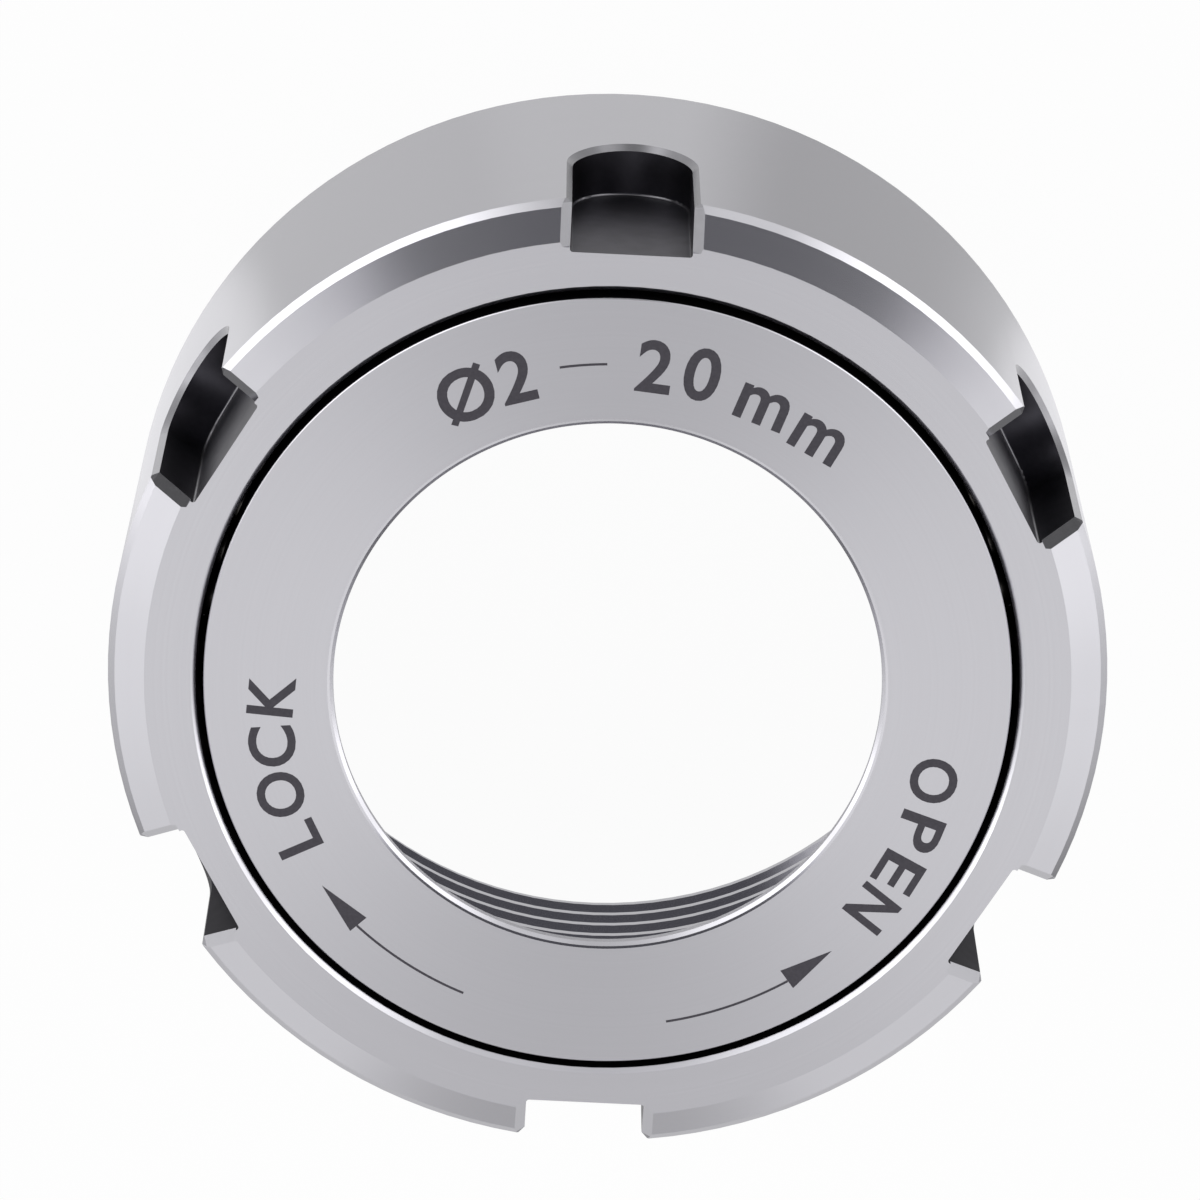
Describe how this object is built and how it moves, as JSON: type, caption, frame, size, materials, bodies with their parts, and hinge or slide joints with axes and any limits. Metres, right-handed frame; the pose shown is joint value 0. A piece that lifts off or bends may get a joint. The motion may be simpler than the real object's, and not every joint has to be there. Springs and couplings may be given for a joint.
{
  "type": "collet nut",
  "caption": "Round slotted collet nut with a flush thrust ring that turns on a row of balls, a conical collet seat and an inner thread.",
  "frame": {"origin": "centre of the back face, the face towards the spindle", "axes": "+Z along the nut's axis towards the marked front face, +Y and -Y through the middles of two spanner slots"},
  "size_m": [0.05, 0.05, 0.0225],
  "materials": {
    "body_steel": "satin turned steel",
    "ring_steel": "satin turned steel with dark marks",
    "pin_steel": "ground steel",
    "ball_steel": "polished bearing steel"
  },
  "bodies": {
    "nut_body": {"nut_body": "body_steel", "loading_plug": "pin_steel"},
    "thrust_ring": {"thrust_ring": "ring_steel"},
    "ball_row": {"bearing_ball_01": "ball_steel", "bearing_ball_02": "ball_steel", "bearing_ball_03": "ball_steel", "bearing_ball_04": "ball_steel", "bearing_ball_05": "ball_steel", "bearing_ball_06": "ball_steel", "bearing_ball_07": "ball_steel", "bearing_ball_08": "ball_steel", "bearing_ball_09": "ball_steel", "bearing_ball_10": "ball_steel", "bearing_ball_11": "ball_steel", "bearing_ball_12": "ball_steel", "bearing_ball_13": "ball_steel", "bearing_ball_14": "ball_steel", "bearing_ball_15": "ball_steel", "bearing_ball_16": "ball_steel", "bearing_ball_17": "ball_steel", "bearing_ball_18": "ball_steel", "bearing_ball_19": "ball_steel", "bearing_ball_20": "ball_steel", "bearing_ball_21": "ball_steel", "bearing_ball_22": "ball_steel", "bearing_ball_23": "ball_steel", "bearing_ball_24": "ball_steel", "bearing_ball_25": "ball_steel", "bearing_ball_26": "ball_steel", "bearing_ball_27": "ball_steel", "bearing_ball_28": "ball_steel", "bearing_ball_29": "ball_steel", "bearing_ball_30": "ball_steel", "bearing_ball_31": "ball_steel", "bearing_ball_32": "ball_steel", "bearing_ball_33": "ball_steel", "bearing_ball_34": "ball_steel", "bearing_ball_35": "ball_steel", "bearing_ball_36": "ball_steel", "bearing_ball_37": "ball_steel", "bearing_ball_38": "ball_steel", "bearing_ball_39": "ball_steel", "bearing_ball_40": "ball_steel", "bearing_ball_41": "ball_steel", "bearing_ball_42": "ball_steel", "bearing_ball_43": "ball_steel", "bearing_ball_44": "ball_steel", "bearing_ball_45": "ball_steel", "bearing_ball_46": "ball_steel", "bearing_ball_47": "ball_steel", "bearing_ball_48": "ball_steel", "bearing_ball_49": "ball_steel", "bearing_ball_50": "ball_steel"}
  },
  "joints": [
    {"name": "ring_spin", "type": "hinge", "parent": "nut_body", "child": "thrust_ring", "pos_m": [0, 0, 0.0179], "axis": [0, 0, 1], "continuous": true},
    {"name": "ball_orbit", "type": "hinge", "parent": "nut_body", "child": "ball_row", "pos_m": [0, 0, 0.0179], "axis": [0, 0, 1], "continuous": true}
  ],
  "couplings": [
    {"joint": "ball_orbit", "follows": "ring_spin", "ratio": 0.4689}
  ]
}
